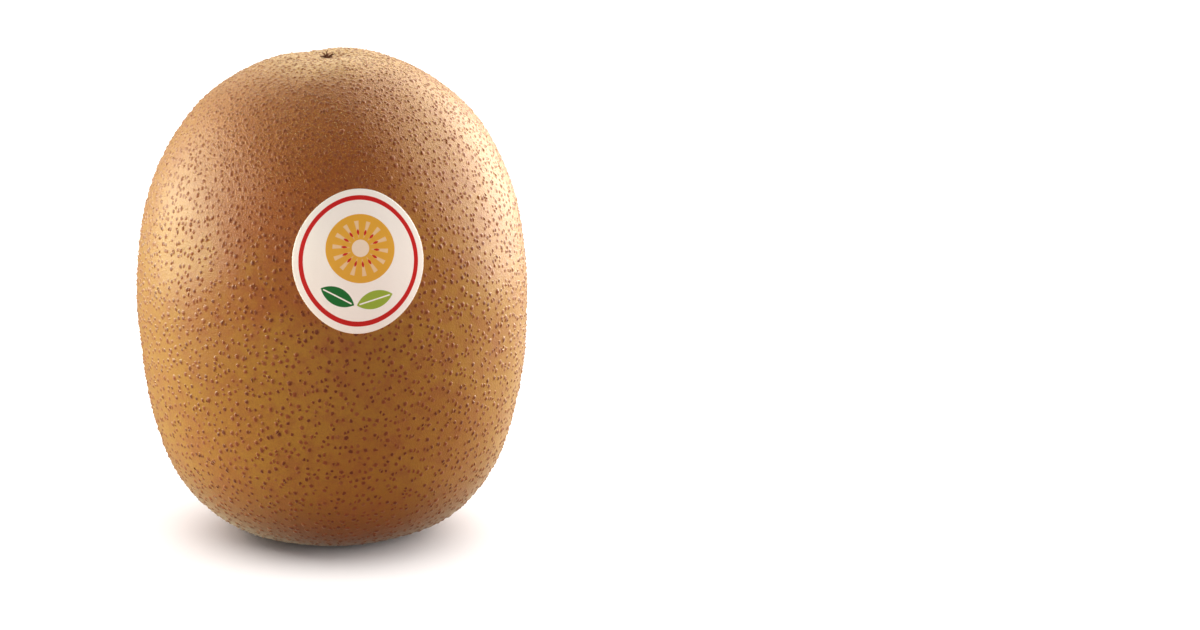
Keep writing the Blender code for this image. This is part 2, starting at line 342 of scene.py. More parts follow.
def mesh_from(name, points, *faces, **values):
    """A smooth-shaded mesh from points, arrays of faces with three or more corners, and numbers per point.

    Points that no face uses are left out.
    """
    mesh = bpy.data.meshes.new(name)
    points = np.asarray(points, np.float32).reshape(-1, 3)
    corners = np.concatenate([np.asarray(some, np.int32).ravel() for some in faces])
    totals = np.concatenate([np.full(len(some), some.shape[1], np.int32) for some in faces])
    used, corners = np.unique(corners, return_inverse=True)
    corners = corners.astype(np.int32)
    mesh.vertices.add(len(used))
    mesh.vertices.foreach_set("co", points[used].ravel())
    mesh.loops.add(len(corners))
    mesh.loops.foreach_set("vertex_index", corners)
    mesh.polygons.add(len(totals))
    mesh.polygons.foreach_set("loop_start", np.cumsum(totals) - totals)
    mesh.polygons.foreach_set("loop_total", totals)
    mesh.update(calc_edges=True)
    for key, numbers in values.items():
        numbers = np.asarray(numbers, np.float32)[used]
        kind, slot = ("FLOAT_VECTOR", "vector") if numbers.ndim > 1 else ("FLOAT", "value")
        layer = mesh.attributes.new(key, kind, "POINT")
        layer.data.foreach_set(slot, numbers.ravel())
    if mesh.validate():
        raise RuntimeError(f"{name} has faces that don't hold together")
    mesh.shade_smooth()
    return mesh


def crease(mesh, level, owner):
    """Makes the shading break along each edge whose ends both carry a level of 0 and the same owner."""
    ends = np.empty(2 * len(mesh.edges), np.int32)
    mesh.edges.foreach_get("vertices", ends)
    ends = ends.reshape(-1, 2)
    levels, owners = np.empty((2, len(mesh.vertices)), np.float32)
    mesh.attributes[level].data.foreach_get("value", levels)
    mesh.attributes[owner].data.foreach_get("value", owners)
    is_foot = (levels[ends] == 0).all(axis=1) & (owners[ends[:, 0]] == owners[ends[:, 1]])
    mesh.edges.foreach_set("use_edge_sharp", is_foot)


def add_piece(name, mesh, material, slot, *nodes):
    """Puts the mesh in the scene as a piece that rides on the fruit and may stand for some of its solids."""
    piece = bpy.data.objects.new(name, mesh)
    bpy.context.scene.collection.objects.link(piece)
    mesh.materials.append(material)
    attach(piece, "root")
    if nodes:
        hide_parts(*nodes)


def net_of(directions):
    """Triangles that join neighbouring points of the unit sphere, all facing out: the points' convex hull."""
    mesh = bpy.data.meshes.new("net")
    mesh.vertices.add(len(directions))
    mesh.vertices.foreach_set("co", directions.astype(np.float32).ravel())
    bm = bmesh.new()
    bm.from_mesh(mesh)
    bmesh.ops.convex_hull(bm, input=bm.verts)
    bm.to_mesh(mesh)
    bm.free()
    mesh.calc_loop_triangles()
    net = np.empty(3 * len(mesh.loop_triangles), np.int32)
    mesh.loop_triangles.foreach_get("vertices", net)
    bpy.data.meshes.remove(mesh)
    net = net.reshape(-1, 3)
    first, second, third = (directions[net[:, corner]] for corner in range(3))
    faces_in = np.einsum("ij,ij->i", np.cross(second - first, third - first), first) < 0
    net[faces_in] = net[faces_in][:, ::-1]
    return net


def dotted_faces(net, is_round):
    """Faces that put a dot at each point of the net: a cone, or where is_round says so a dome.

    Each corner of a triangle of the net gets a foot and a shoulder. A dot's feet form its outline, its
    shoulders a smaller ring, and its own point the tip. The feet of each triangle are joined, and so are
    the feet on both sides of each edge. Points are numbered feet first, then shoulders, then tips.
    """
    count = np.int64(len(is_round))
    corners = 3 * len(net)
    owner = net.ravel()
    start = np.arange(corners)
    end = start - start % 3 + (start + 1) % 3
    keys = owner * count + owner[end]
    opposite = owner[end] * count + owner
    order = np.argsort(keys)
    across = order[np.searchsorted(keys[order], opposite)]
    far_end = across
    far_start = across - across % 3 + (across + 1) % 3
    shoulder = corners
    tip = 2 * corners + owner
    once = keys < opposite
    between = np.column_stack((end, start, far_start, far_end))[once]
    is_round = is_round[owner]
    collar = np.column_stack((far_start, start, start + shoulder, far_start + shoulder))[is_round]
    cap = np.column_stack((far_start, start, tip))
    cap[is_round, :2] += shoulder
    return start.reshape(-1, 3), between, collar, cap


def walls_between(rows):
    """Four-cornered faces between neighbouring rows of point numbers, each closed on itself."""
    after = np.roll(rows, -1, axis=1)
    return np.stack((rows[:-1], rows[1:], after[1:], after[:-1]), axis=-1).reshape(-1, 4)


def tubes(paths, radii, sides):
    """Points and faces of closed tubes: a polygon of the given radius carried along each path of points."""
    along = unit(np.gradient(paths, axis=1))
    helper = np.where(np.abs(along[..., 2:]) < 0.9, (0.0, 0.0, 1.0), (1.0, 0.0, 0.0))
    first = unit(np.cross(along, helper))
    second = np.cross(along, first)
    turn = round_turn(sides)
    ring = np.cos(turn)[:, None] * first[:, :, None, :] + np.sin(turn)[:, None] * second[:, :, None, :]
    points = paths[:, :, None, :] + radii[:, :, None, None] * ring
    count, steps = paths.shape[:2]
    index = np.arange(count * steps * sides).reshape(count, steps, sides)
    after = np.roll(index, -1, axis=2)
    walls = np.stack((index[:, :-1], after[:, :-1], after[:, 1:], index[:, 1:]), axis=-1)
    return points, walls.reshape(-1, 4), index[:, 0, ::-1], index[:, -1]


class Shade:
    """A socket of a material's nodes. Arithmetic on it adds Math nodes."""

    def __init__(self, look, socket):
        self.look = look
        self.socket = socket

    def of(self, output):
        """Another output of the same node."""
        return Shade(self.look, self.socket.node.outputs[output])

    def math(self, operation, *others, clamp=False):
        settings = {"operation": operation, "use_clamp": clamp}
        return self.look.add("Math", settings, dict(enumerate((self, *others))))

    def __add__(self, other):
        return self.math("ADD", other)

    __radd__ = __add__

    def __sub__(self, other):
        return self.math("SUBTRACT", other)

    def __rsub__(self, other):
        return (self * -1) + other

    def __mul__(self, other):
        return self.math("MULTIPLY", other)

    def __truediv__(self, other):
        return self.math("DIVIDE", other)

    def __pow__(self, other):
        return self.math("POWER", other)

    def within(self, low, high):
        """0 below low, 1 above high, and a smooth step between."""
        settings = {"interpolation_type": "SMOOTHSTEP"}
        return self.look.add("MapRange", settings, {"Value": self, "From Min": low, "From Max": high})


class Look:
    """A material that is built from nodes."""

    def __init__(self, name, uniform=None):
        self.material = bpy.data.materials.new(name)
        self.material.use_nodes = True
        self.tree = self.material.node_tree
        self.shader = self.tree.nodes["Principled BSDF"]
        for socket, value in (uniform or {}).items():
            self.put(self.shader.inputs[socket], value)

    def add(self, kind, settings=None, inputs=None, output=0):
        """A node of a type with its settings, and values or links for its sockets. Gives one output."""
        node = self.tree.nodes.new("ShaderNode" + kind)
        for name, value in (settings or {}).items():
            setattr(node, name, value)
        for name, value in (inputs or {}).items():
            self.put(node.inputs[name], value)
        return Shade(self, node.outputs[output])

    def put(self, socket, value):
        """Links a shade to the socket, or sets its value."""
        if isinstance(value, Shade):
            self.tree.links.new(value.socket, socket)
        elif socket.type == "RGBA" and len(value) == 3:
            socket.default_value = (*value, 1.0)
        else:
            socket.default_value = value

    def mix(self, factor, first, second):
        """The first colour where factor is 0 and the second where it is 1."""
        settings = {"data_type": "RGBA", "clamp_factor": True}
        return self.add("Mix", settings, {0: factor, 6: first, 7: second}, output=2)

    def place(self):
        """Object coordinates."""
        return self.add("TexCoord").of("Object")

    def number(self, name):
        """A number that each point of the mesh carries."""
        return self.add("Attribute", {"attribute_name": name}).of("Fac")

    def noise(self, size, detail=3.0, roughness=0.5):
        """Smooth noise from 0 to 1 with features of about the given size in metres."""
        inputs = {"Vector": self.place(), "Scale": 1 / size, "Detail": detail, "Roughness": roughness}
        return self.add("TexNoise", None, inputs)

    def bump(self, height, depth):
        """A normal that follows the height, of the given depth in metres."""
        return self.add("Bump", None, {"Height": height, "Distance": depth})

    def done(self, changing):
        """Feeds what changes over the surface to the shader and gives the material."""
        for socket, value in changing.items():
            self.put(self.shader.inputs[socket], value)
        return self.material


def skin_material(form, skin):
    """The dotted skin: gold low down and darkened near the ground by painted shade, orange-brown and flecked
    above, cream at the crown partly from painted light, and satiny.

    Height gives the broad colour zones, noises of four sizes break them up, and the numbers that the dots
    carry give each one its red-brown tip and a faint pinkish halo. The brown, flecked zone is strongest in
    a band a little left of the middle and weakens towards both sides: its brown is partly the skin's own and
    partly painted shade of the dimly lit front, and its pale flecks are partly painted glints of fibre and
    bump tips.
    """
    look = Look("kiwi_skin", {
        "Specular IOR Level": 0.42,
        "Sheen Weight": 0.34,
        "Sheen Roughness": 0.45,
        "Sheen Tint": (1.0, 0.94, 0.76),
    })
    axis = look.add("SeparateXYZ", None, {0: look.place()})
    height = axis.of("Z") / form.height
    broad = look.noise(10 * MM, detail=2.0)
    patch = look.noise(2.2 * MM, detail=4.0, roughness=0.6)
    grain = look.noise(0.45 * MM, roughness=0.7)
    speck = look.noise(0.22 * MM, detail=2.0)
    wander = (broad - 0.5) * 0.34 + (patch - 0.5) * 0.25
    # A band a little left of the middle where the front is dimly lit: the orange-brown laid there is partly
    # painted shade.
    shaded_band_from_middle, beside_shaded_band = 0.18, 0.25
    side = (axis.of("X") * (2 / form.width) + shaded_band_from_middle).math("ABSOLUTE")
    middle = (side + wander * 0.4).within(0.70, 0.22) * (1 - beside_shaded_band) + beside_shaded_band
    rough_part = (height + wander * 0.5).within(0.55, 0.92) * middle

    colour = look.mix((wander + 0.5).within(0.42, 0.66), skin.ground, skin.warm)
    # Orange-brown above, strongest in the band: partly the skin's own colour, partly painted shade.
    colour = look.mix((height + wander).within(0.48, 0.74) * middle, colour, skin.upper)
    # Cream at the top: partly the skin's paler crown, partly painted light from above.
    colour = look.mix((height + wander * 0.14).within(0.962, 1.0), colour, skin.crown)
    # Painted shade: darker towards the ground.
    colour = look.mix((height + wander * 0.3).within(0.21, 0.0), colour, skin.base)
    colour = look.mix(patch.within(0.46, 0.70) * 0.45, colour, skin.halo)
    colour = look.mix(grain.within(0.50, 0.66) * 0.3, colour, skin.halo)
    # Pale specks: partly painted glints of fibre and bump tips.
    colour = look.mix(speck.within(0.50, 0.60) * (0.12 + rough_part * 0.5), colour, skin.speck)
    colour = look.mix(speck.within(0.50, 0.38) * (0.16 + rough_part * 0.8), colour, skin.dot_pale)

    dot = look.number("dot")
    tone = look.number("tone")
    dot_colour = look.mix(tone.within(0.0, 0.16), skin.dot_pale, skin.dot_red)
    dot_colour = look.mix(tone.within(0.4, 1.0) * height.within(0.95, 0.55), dot_colour, skin.dot_dark)
    edge = (dot + (grain - 0.5) * 0.4).within(0.24, 0.62)
    halo = (dot + (grain - 0.5) * 0.3).within(-0.04, 0.4) * 0.7
    colour = look.mix(halo, colour, skin.halo)
    colour = look.mix(edge * (0.88 + tone * 0.12 - rough_part * 0.22), colour, dot_colour)

    roughness = 0.37 + grain * 0.12 + edge * 0.1 + height.within(0.6, 1.0) * 0.08
    fine = (grain * 0.4 + speck * 0.6) * (0.6 + rough_part * 1.3)
    normal = look.bump(fine, 0.00009)
    return look.done({"Base Color": colour, "Roughness": roughness, "Normal": normal})


def fibre_material(fibres, skin):
    """Pale straw fibres, each a little lighter or darker."""
    look = Look("pale_fibre")
    tone = look.number("tone")
    grain = look.noise(0.5 * MM)
    colour = look.mix(tone.within(0.45, 1.0), fibres.colour, skin.ground)
    return look.done({"Base Color": colour, "Roughness": 0.5 + grain * 0.1})


def tuft_material(tuft, skin):
    """Dry brown plant matter, streaked and dull."""
    look = Look("dry_tuft", {"Specular IOR Level": 0.15})
    grain = look.noise(0.12 * MM, detail=4.0)
    colour = look.mix(grain.within(0.4, 0.75) * 0.5, tuft.colour, skin.dot_red)
    normal = look.bump(grain, 0.00004)
    return look.done({"Base Color": colour, "Roughness": 0.7 + grain * 0.2, "Normal": normal})


def scar_material(form, tuft, skin):
    """Weathered wood, streaked and dotted with dark pores, with a corky rim of the skin's colour."""
    look = Look("stalk_wood")
    axis = look.add("SeparateXYZ", None, {0: look.place()})
    x, y = axis.of("X"), axis.of("Y")
    reach = (x * x + y * y) ** 0.5 / form.scar_radius
    streak = look.noise(0.35 * MM, detail=4.0, roughness=0.7)
    pores = look.noise(0.16 * MM)
    colour = look.mix(streak.within(0.35, 0.7), tuft.wood, tuft.colour)
    colour = look.mix(reach.within(0.62, 0.92) * 0.7, colour, skin.warm)
    colour = look.mix(pores.within(0.55, 0.8) * 0.6, colour, tuft.colour)
    normal = look.bump(streak * 0.6 + pores * 0.4, 0.00012)
    return look.done({"Base Color": colour, "Roughness": 0.7 + streak * 0.2, "Normal": normal})


def label_material(label):
    """White glossy label with a generic print.

    A red hoop follows the outline. Inside it lie a golden fruit slice with pale rays and dark red seeds,
    and two leaves below it. Each shape is a mask worked out from the place on the label in millimetres.
    """
    look = Look("printed_label")
    place = look.add("Attribute", {"attribute_name": "print_place"}).of("Vector")
    axis = look.add("SeparateXYZ", None, {0: place})
    x, y = axis.of("X"), axis.of("Y")
    soft = 0.045
    hoop_inset, hoop_half_width = 1.15, 0.30
    slice_y, slice_radius, core_radius, seed_radius, seeds = 1.5, 4.6, 1.15, 2.15, 14
    leaf_x, leaf_y, leaf_turn, leaf_length, leaf_width = 2.5, -5.05, math.radians(22), 5.0, 2.3
    leaf_margin, rib_half_width = 0.25, 0.09

    def inside(distance):
        """1 where the distance is below zero and 0 above, with a soft printed edge."""
        return (distance * (-1 / soft)).math("ADD", 0.5, clamp=True)

    def away(across, along):
        """The distance of a place from where both its coordinates are zero."""
        return (across * across + along * along) ** 0.5

    def leaf(side):
        """A pointed leaf on one side: where two discs overlap. Also gives the distance from its midrib."""
        turn = side * leaf_turn
        beside, above = x - side * leaf_x, y - leaf_y
        along = beside * math.cos(turn) + above * math.sin(turn)
        across = above * math.cos(turn) - beside * math.sin(turn)
        bow = (leaf_length * leaf_length / leaf_width - leaf_width) / 4
        radius = bow + leaf_width / 2
        edge = away(along, across + bow).math("MAXIMUM", away(along, across - bow)) - radius
        return edge, across.math("ABSOLUTE")

    half_width, half_tallness = label.width / 2 / MM, label.tallness / 2 / MM
    reach = ((x / half_width) ** 2 + (y / half_tallness) ** 2) ** 0.5 * half_width
    hoop = (reach - (half_width - hoop_inset)).math("ABSOLUTE") - hoop_half_width

    from_core = away(x, y - slice_y)
    angle = (y - slice_y).math("ARCTAN2", x)
    rays = (angle * seeds).math("COSINE")
    beside = (angle * (seeds / 2)).math("COSINE")
    ray = (rays * from_core * 0.3).within(0.25, 0.7)
    ray = ray * inside(from_core - (slice_radius - 0.9)) * inside(core_radius - from_core + 0.25)
    seed_across = (beside.math("ABSOLUTE") - 1) * -1
    seed = inside((from_core - seed_radius).math("ABSOLUTE") * 0.55 + seed_across * 1.5 - 0.22)

    colour = look.mix(inside(hoop), label.paper, label.red)
    colour = look.mix(inside(from_core - slice_radius), colour, label.gold)
    pale = tuple(0.35 * gold + 0.65 * paper for gold, paper in zip(label.gold, label.paper))
    colour = look.mix(ray * 0.55, colour, pale)
    colour = look.mix(inside(from_core - core_radius), colour, pale)
    colour = look.mix(seed, colour, label.red)
    for side, tint in ((-1, label.leaf), (1, label.shoot)):
        blade, rib = leaf(side)
        colour = look.mix(inside(blade), colour, tint)
        colour = look.mix(inside(blade + leaf_margin) * inside(rib - rib_half_width), colour, label.paper)

    fibre = look.noise(0.3 * MM)
    wave = look.noise(2.4 * MM, detail=2.0)
    normal = look.bump(wave * 0.85 + fibre * 0.15, 0.00008)
    return look.done({"Base Color": colour, "Roughness": 0.26 + fibre * 0.1, "Normal": normal})


def floor_material():
    """Matte white for the camera, which throws only a dull reddish light back at the fruit."""
    look = Look("white_floor", {"Roughness": 0.9, "Specular IOR Level": 0.1})
    thrown_back, shown = (0.47, 0.31, 0.22), (0.93, 0.93, 0.93)
    seen = look.add("LightPath").of("Is Camera Ray")
    return look.done({"Base Color": look.mix(seen, thrown_back, shown)})


class KIWI_OT_skin(bpy.types.Operator):
    """Make the dotted skin, which stands for the plain fruit"""

    bl_idname = "kiwi.skin"
    bl_label = "Skin"

    def execute(self, context):
        """A cone or a dome at each point of an even net over the fruit, with its foot on the smooth skin.

        Sizes vary by chance, and grow towards the ground and shrink towards the crown. Heights go with the
        sizes, and are less near the ground, at the label's rim and where the fruit is widest.
        """
        form = context.scene.kiwi_form
        skin = context.scene.kiwi_skin
        draw = np.random.default_rng(skin.seed)
        size_spread, low_growth, high_shrinkage, low_flattening = 0.14, 0.12, 0.4, 0.3
        cone_foot, widest_foot, shoulder_place, shoulder_rise = 0.95, 0.86, 0.55, 0.38
        cone_mark, shoulder_mark, faintest_mark = 1.7, 0.62, 0.78

        def density(height):
            """More dots to the area at the crown, fewer near the ground."""
            return 0.82 + 0.75 * np.clip(height / form.height, 0, 1) ** 3

        even = even_directions(skin.dots, density)
        tips = unit(even + draw.uniform(-1, 1, even.shape) * skin.scatter / form.widest_height)
        net = net_of(tips)
        points, normals = grown_skin(tips)
        count = len(tips)
        size = skin.dot_radius * np.exp(draw.normal(0.0, size_spread, count))
        low = np.clip(1 - points[:, 2] / (0.4 * form.height), 0, 1)
        high = np.clip(points[:, 2] / form.height - 0.6, 0, 1)
        size *= 1 + low_growth * low - high_shrinkage * high
        height = skin.dot_height * (size / skin.dot_radius) ** 0.8 * draw.uniform(0.7, 1.3, count)
        height *= 1 - low_flattening * low
        height *= np.clip(points[:, 2] / (1.5 * MM) - 0.3, 0, 1)
        height *= np.clip(label_reach(points) * 12 - 11.6, 0.15, 1)
        room = (form.width / 2 + skin.reach - np.abs(points[:, 0])) / np.maximum(np.abs(normals[:, 0]), 0.1)
        height = np.minimum(height, room)
        from_stalk = np.hypot(points[:, 0], points[:, 1])
        marked = (from_stalk > form.scar_radius + 0.4 * MM) | (points[:, 2] > form.widest_height)

        corner = net.ravel()
        middle = np.repeat(unit(tips[net].sum(axis=1)), 3, axis=0)
        towards = middle - tips[corner]
        span = np.linalg.norm(grown_skin(middle)[0] - points[corner], axis=1)
        is_round = size > np.quantile(size, 1 - skin.round_share)
        foot = size * np.where(is_round, 1.0, cone_foot)
        share = np.minimum(foot[corner] * draw.uniform(0.85, 1.15, len(corner)) / span, widest_foot)
        feet = unit(tips[corner] + towards * share[:, None])
        shoulders = unit(tips[corner] + towards * (shoulder_place * share)[:, None])
        foot_points = grown_skin(feet)[0]
        shoulder_points, shoulder_normals = grown_skin(shoulders)
        shoulder_points += shoulder_normals * (shoulder_rise * height[corner])[:, None]
        points += normals * height[:, None]

        strength = draw.uniform(faintest_mark, 1.0, count) * marked
        peak = strength * np.where(is_round, 1.0, cone_mark)
        dot = np.concatenate((np.zeros(len(corner)), shoulder_mark * strength[corner], peak))
        tone = draw.uniform(0.0, 1.0, count)
        tone = np.concatenate((tone[corner], tone[corner], tone))
        every = np.concatenate((foot_points, shoulder_points, points))
        mesh = mesh_from("kiwi_skin", every, *dotted_faces(net, is_round), dot=dot, tone=tone)
        crease(mesh, "dot", "tone")
        add_piece("kiwi_skin", mesh, skin_material(form, skin), "skin", "fruit")
        return {"FINISHED"}


class KIWI_OT_scar(bpy.types.Operator):
    """Make the woody scar of the stalk, sunk in the flat spot underneath"""

    bl_idname = "kiwi.scar"
    bl_label = "Stalk Scar"

    def execute(self, context):
        """A lens on a polar grid, with a boss, rings and ridges on its lower face and a plain hidden top."""
        form = context.scene.kiwi_form
        tuft = context.scene.kiwi_tuft
        rings, turns = 22, 96
        ridge_height, hoop_height, boss_height, rim_height = 0.05 * MM, 0.04 * MM, 0.16 * MM, 0.3 * MM
        sunk, lowest, thickness = 0.05 * MM, 0.06 * MM, 0.35 * MM
        share = np.linspace(0.0, 1.0, rings)[1:, None]
        turn = round_turn(turns)
        radius = (form.scar_radius - 0.25 * form.scar_wall) * (1 + 0.03 * np.sin(5 * turn + 1))
        ridge = ridge_height * np.cos(17 * turn + 3 * np.sin(4 * turn)) * share * (1 - share**4)
        hoops = hoop_height * np.cos(9 * math.pi * share)
        boss = boss_height * np.exp(-((share / 0.35) ** 2))
        rim = rim_height * share**6
        low = form.scar_depth - sunk - boss + ridge + hoops + rim * np.ones_like(turn)
        low = np.maximum(low, lowest)
        top = np.full_like(low, form.scar_depth + thickness)
        x = radius * share * np.cos(turn)
        y = radius * share * np.sin(turn) * form.depth / form.width
        lower = np.stack((x, y, low), axis=-1).reshape(-1, 3)
        upper = np.stack((x, y, top), axis=-1)[-1]
        poles = np.array(((0.0, 0.0, low[0].mean()), (0.0, 0.0, top[0, 0])))
        index = np.arange((rings - 1) * turns).reshape(rings - 1, turns)
        after = np.roll(index, -1, axis=1)
        walls = walls_between(index)[:, ::-1]
        first_pole = index.size + turns
        edge = index.size + np.arange(turns)
        edge_after = np.roll(edge, -1)
        side = np.column_stack((index[-1], after[-1], edge_after, edge))
        middle = np.column_stack((after[0], index[0], np.full(turns, first_pole)))
        lid = np.column_stack((edge, edge_after, np.full(turns, first_pole + 1)))
        mesh = mesh_from("stalk_scar", np.concatenate((lower, upper, poles)), walls, side, middle, lid)
        add_piece("stalk_scar", mesh, scar_material(form, tuft, context.scene.kiwi_skin), "skin")
        return {"FINISHED"}


class KIWI_OT_fibres(bpy.types.Operator):
    """Make the short pale fibres that lie on the skin, thickest at the crown"""

    bl_idname = "kiwi.fibres"
    bl_label = "Fibres"

    def execute(self, context):
        """Each fibre is a three-sided taper that leaves the skin at a low angle and bends back towards it."""
        form = context.scene.kiwi_form
        fibres = context.scene.kiwi_fibres
        skin = context.scene.kiwi_skin
        draw = np.random.default_rng(skin.seed + 1)
        scatter, sunk, bend_back, beside_label, tip_share = 0.7 * MM, 0.03 * MM, 0.7, 1.06, 0.2

        def density(height):
            """None on the lower part, and most at the crown."""
            bare_share = 0.6
            return np.clip((height / form.height - bare_share) / (1 - bare_share), 0, 1) ** 1.5

        even = even_directions(fibres.count, density)
        roots = unit(even + draw.uniform(-1, 1, even.shape) * scatter / form.widest_height)
        points, normals = grown_skin(roots)
        kept = (label_reach(points) > beside_label) & (points[:, 2] > 4 * MM)
        roots, points, normals = roots[kept], points[kept], normals[kept]
        count = len(roots)
        level, up = tangents(roots)
        lie = draw.uniform(0, 2 * math.pi, count)[:, None]
        lie_along = np.cos(lie) * level + np.sin(lie) * up
        lie_across = np.cross(normals, lie_along)
        length = (fibres.length * draw.uniform(0.5, 1.35, count))[:, None, None]
        lean = draw.uniform(0.15, 0.6, count)[:, None, None]
        curl = draw.uniform(-0.5, 0.5, count)[:, None, None]
        step = np.linspace(0.0, 1.0, 4)[None, :, None]
        rise = step * lean * (1 - bend_back * step) * length - sunk
        paths = points[:, None] + normals[:, None] * rise
        paths = paths + lie_along[:, None] * step * length + lie_across[:, None] * step**2 * curl * length
        radii = fibres.radius * draw.uniform(0.7, 1.2, (count, 1)) * (1 - (1 - tip_share) * step[..., 0])
        tube, walls, roots_end, tips_end = tubes(paths, radii, 3)
        tone = np.repeat(draw.uniform(0, 1, count), tube.shape[1] * 3)
        mesh = mesh_from("crown_fibres", tube, walls, roots_end, tips_end, tone=tone)
        add_piece("crown_fibres", mesh, fibre_material(fibres, skin), "skin")
        return {"FINISHED"}


class KIWI_OT_tuft(bpy.types.Operator):
    """Make the dried flower remnant: a dark ridged button with a star of withered strands"""

    bl_idname = "kiwi.tuft"
    bl_label = "Flower Tuft"

    def execute(self, context):
        """A flattened ball with five waves round it, and tapered tubes that leave it and droop outwards."""
        form = context.scene.kiwi_form
        tuft = context.scene.kiwi_tuft
        skin = context.scene.kiwi_skin
        draw = np.random.default_rng(skin.seed + 2)
        centre = grown_skin(onto_skin(np.array([(form.dimple_x, 0.0, form.height)])))[0][0]

        rows, turns = 14, 30
        polar = np.linspace(0, math.pi, rows)[:, None]
        turn = round_turn(turns)
        wave = 1 + 0.14 * np.cos(5 * turn + 1) + 0.06 * np.cos(11 * turn)
        across = tuft.button_radius * np.sin(polar) * wave
        raised = tuft.button_height * (np.cos(polar) + 0.25 * np.sin(polar) ** 2 * np.cos(7 * turn)) / 2
        button = np.stack((across * np.cos(turn), across * np.sin(turn), raised), axis=-1)
        button = button + centre + (0, 0, 0.3 * tuft.button_height)
        index = np.arange((rows - 2) * turns).reshape(rows - 2, turns)
        body = walls_between(index)
        crown = index[:1]
        foot = index[-1:, ::-1]

        count = tuft.strands
        rounds, stout_every, stoutness, droop, lowest = 2, 4, 1.7, 0.18, 0.02 * MM
        azimuth = 2 * math.pi * (np.arange(count) + draw.uniform(-0.4, 0.4, count)) / count * rounds
        stout = np.arange(count) % stout_every == 0
        lift = np.where(stout, draw.uniform(0.6, 1.3, count), draw.uniform(0.05, 0.8, count))[:, None]
        length = (tuft.strand_length * np.where(stout, 1.15, draw.uniform(0.55, 1.2, count)))[:, None]
        bend = draw.uniform(-0.9, 0.9, count)[:, None]
        step = np.linspace(0, 1, 7)[None, :]
        out = 0.25 * tuft.button_radius + length * step * np.cos(lift)
        height = 0.35 * tuft.button_height + length * (step * np.sin(lift) - droop * step**2)
        height = np.maximum(height, lowest)
        heading = azimuth[:, None] + bend * step**2 * 0.6
        paths = centre + np.stack((out * np.cos(heading), out * np.sin(heading), height), axis=-1)
        radii = tuft.strand_radius * draw.uniform(0.7, 1.2, (count, 1)) * (1 - 0.6 * step)
        radii *= np.where(stout, stoutness, 1.0)[:, None]
        strands, walls, roots, tips = tubes(paths, radii, 6)
        used = button[1:-1].reshape(-1, 3)
        shift = len(used)
        points = np.concatenate((used, strands.reshape(-1, 3)))
        strand_faces = (walls + shift, roots + shift, tips + shift)
        mesh = mesh_from("flower_tuft", points, body, crown, foot, *strand_faces)
        add_piece("flower_tuft", mesh, tuft_material(tuft, skin), "dry_flower", "flower_remnant")
        return {"FINISHED"}


class KIWI_OT_label(bpy.types.Operator):
    """Make the thin oval label that follows the skin, with its print"""

    bl_idname = "kiwi.label"
    bl_label = "Label"

    def execute(self, context):
        """A polar grid drawn onto the skin: a raised face with a rounded rim, and an underside sunk in it."""
        form = context.scene.kiwi_form
        label = context.scene.kiwi_label
        middle, sideways, up = label_plane()
        rings, turns, flat_share = 45, 180, 0.985
        rim_share = (0.993, 0.998, 1.0, 1.0, flat_share)
        rim_rise = (0.94, 0.75, 0.45, -0.15, -0.35)
        share = np.concatenate((np.linspace(0, flat_share, rings + 1)[1:], rim_share))[:, None]
        rise = np.concatenate((np.ones(rings), rim_rise))[:, None] * label.rise
        turn = round_turn(turns)
        across = share * label.width / 2 * np.cos(turn)
        along = share * label.tallness / 2 * np.sin(turn)
        across = np.concatenate(((0.0,), across.ravel(), (0.0,)))
        along = np.concatenate(((0.0,), along.ravel(), (0.0,)))
        rise = np.concatenate((rise[0], np.repeat(rise, turns), rise[-1]))
        bend = form.width / 2
        flat = np.tan(across / bend)[:, None] * sideways + np.tan(along / bend)[:, None] * up
        points, normals = grown_skin(onto_skin(middle + bend * flat))
        points = points + normals * rise[:, None]
        index = 1 + np.arange(len(share) * turns).reshape(len(share), turns)
        after = np.roll(index, -1, axis=1)
        face = np.column_stack((index[0], after[0], np.zeros(turns, int)))
        under = np.column_stack((after[-1], index[-1], np.full(turns, len(points) - 1)))
        place = np.column_stack((across, along, 0 * across)) / MM
        mesh = mesh_from("oval_label", points, walls_between(index), face, under, print_place=place)
        add_piece("oval_label", mesh, label_material(label), "label_paper", "label")
        return {"FINISHED"}


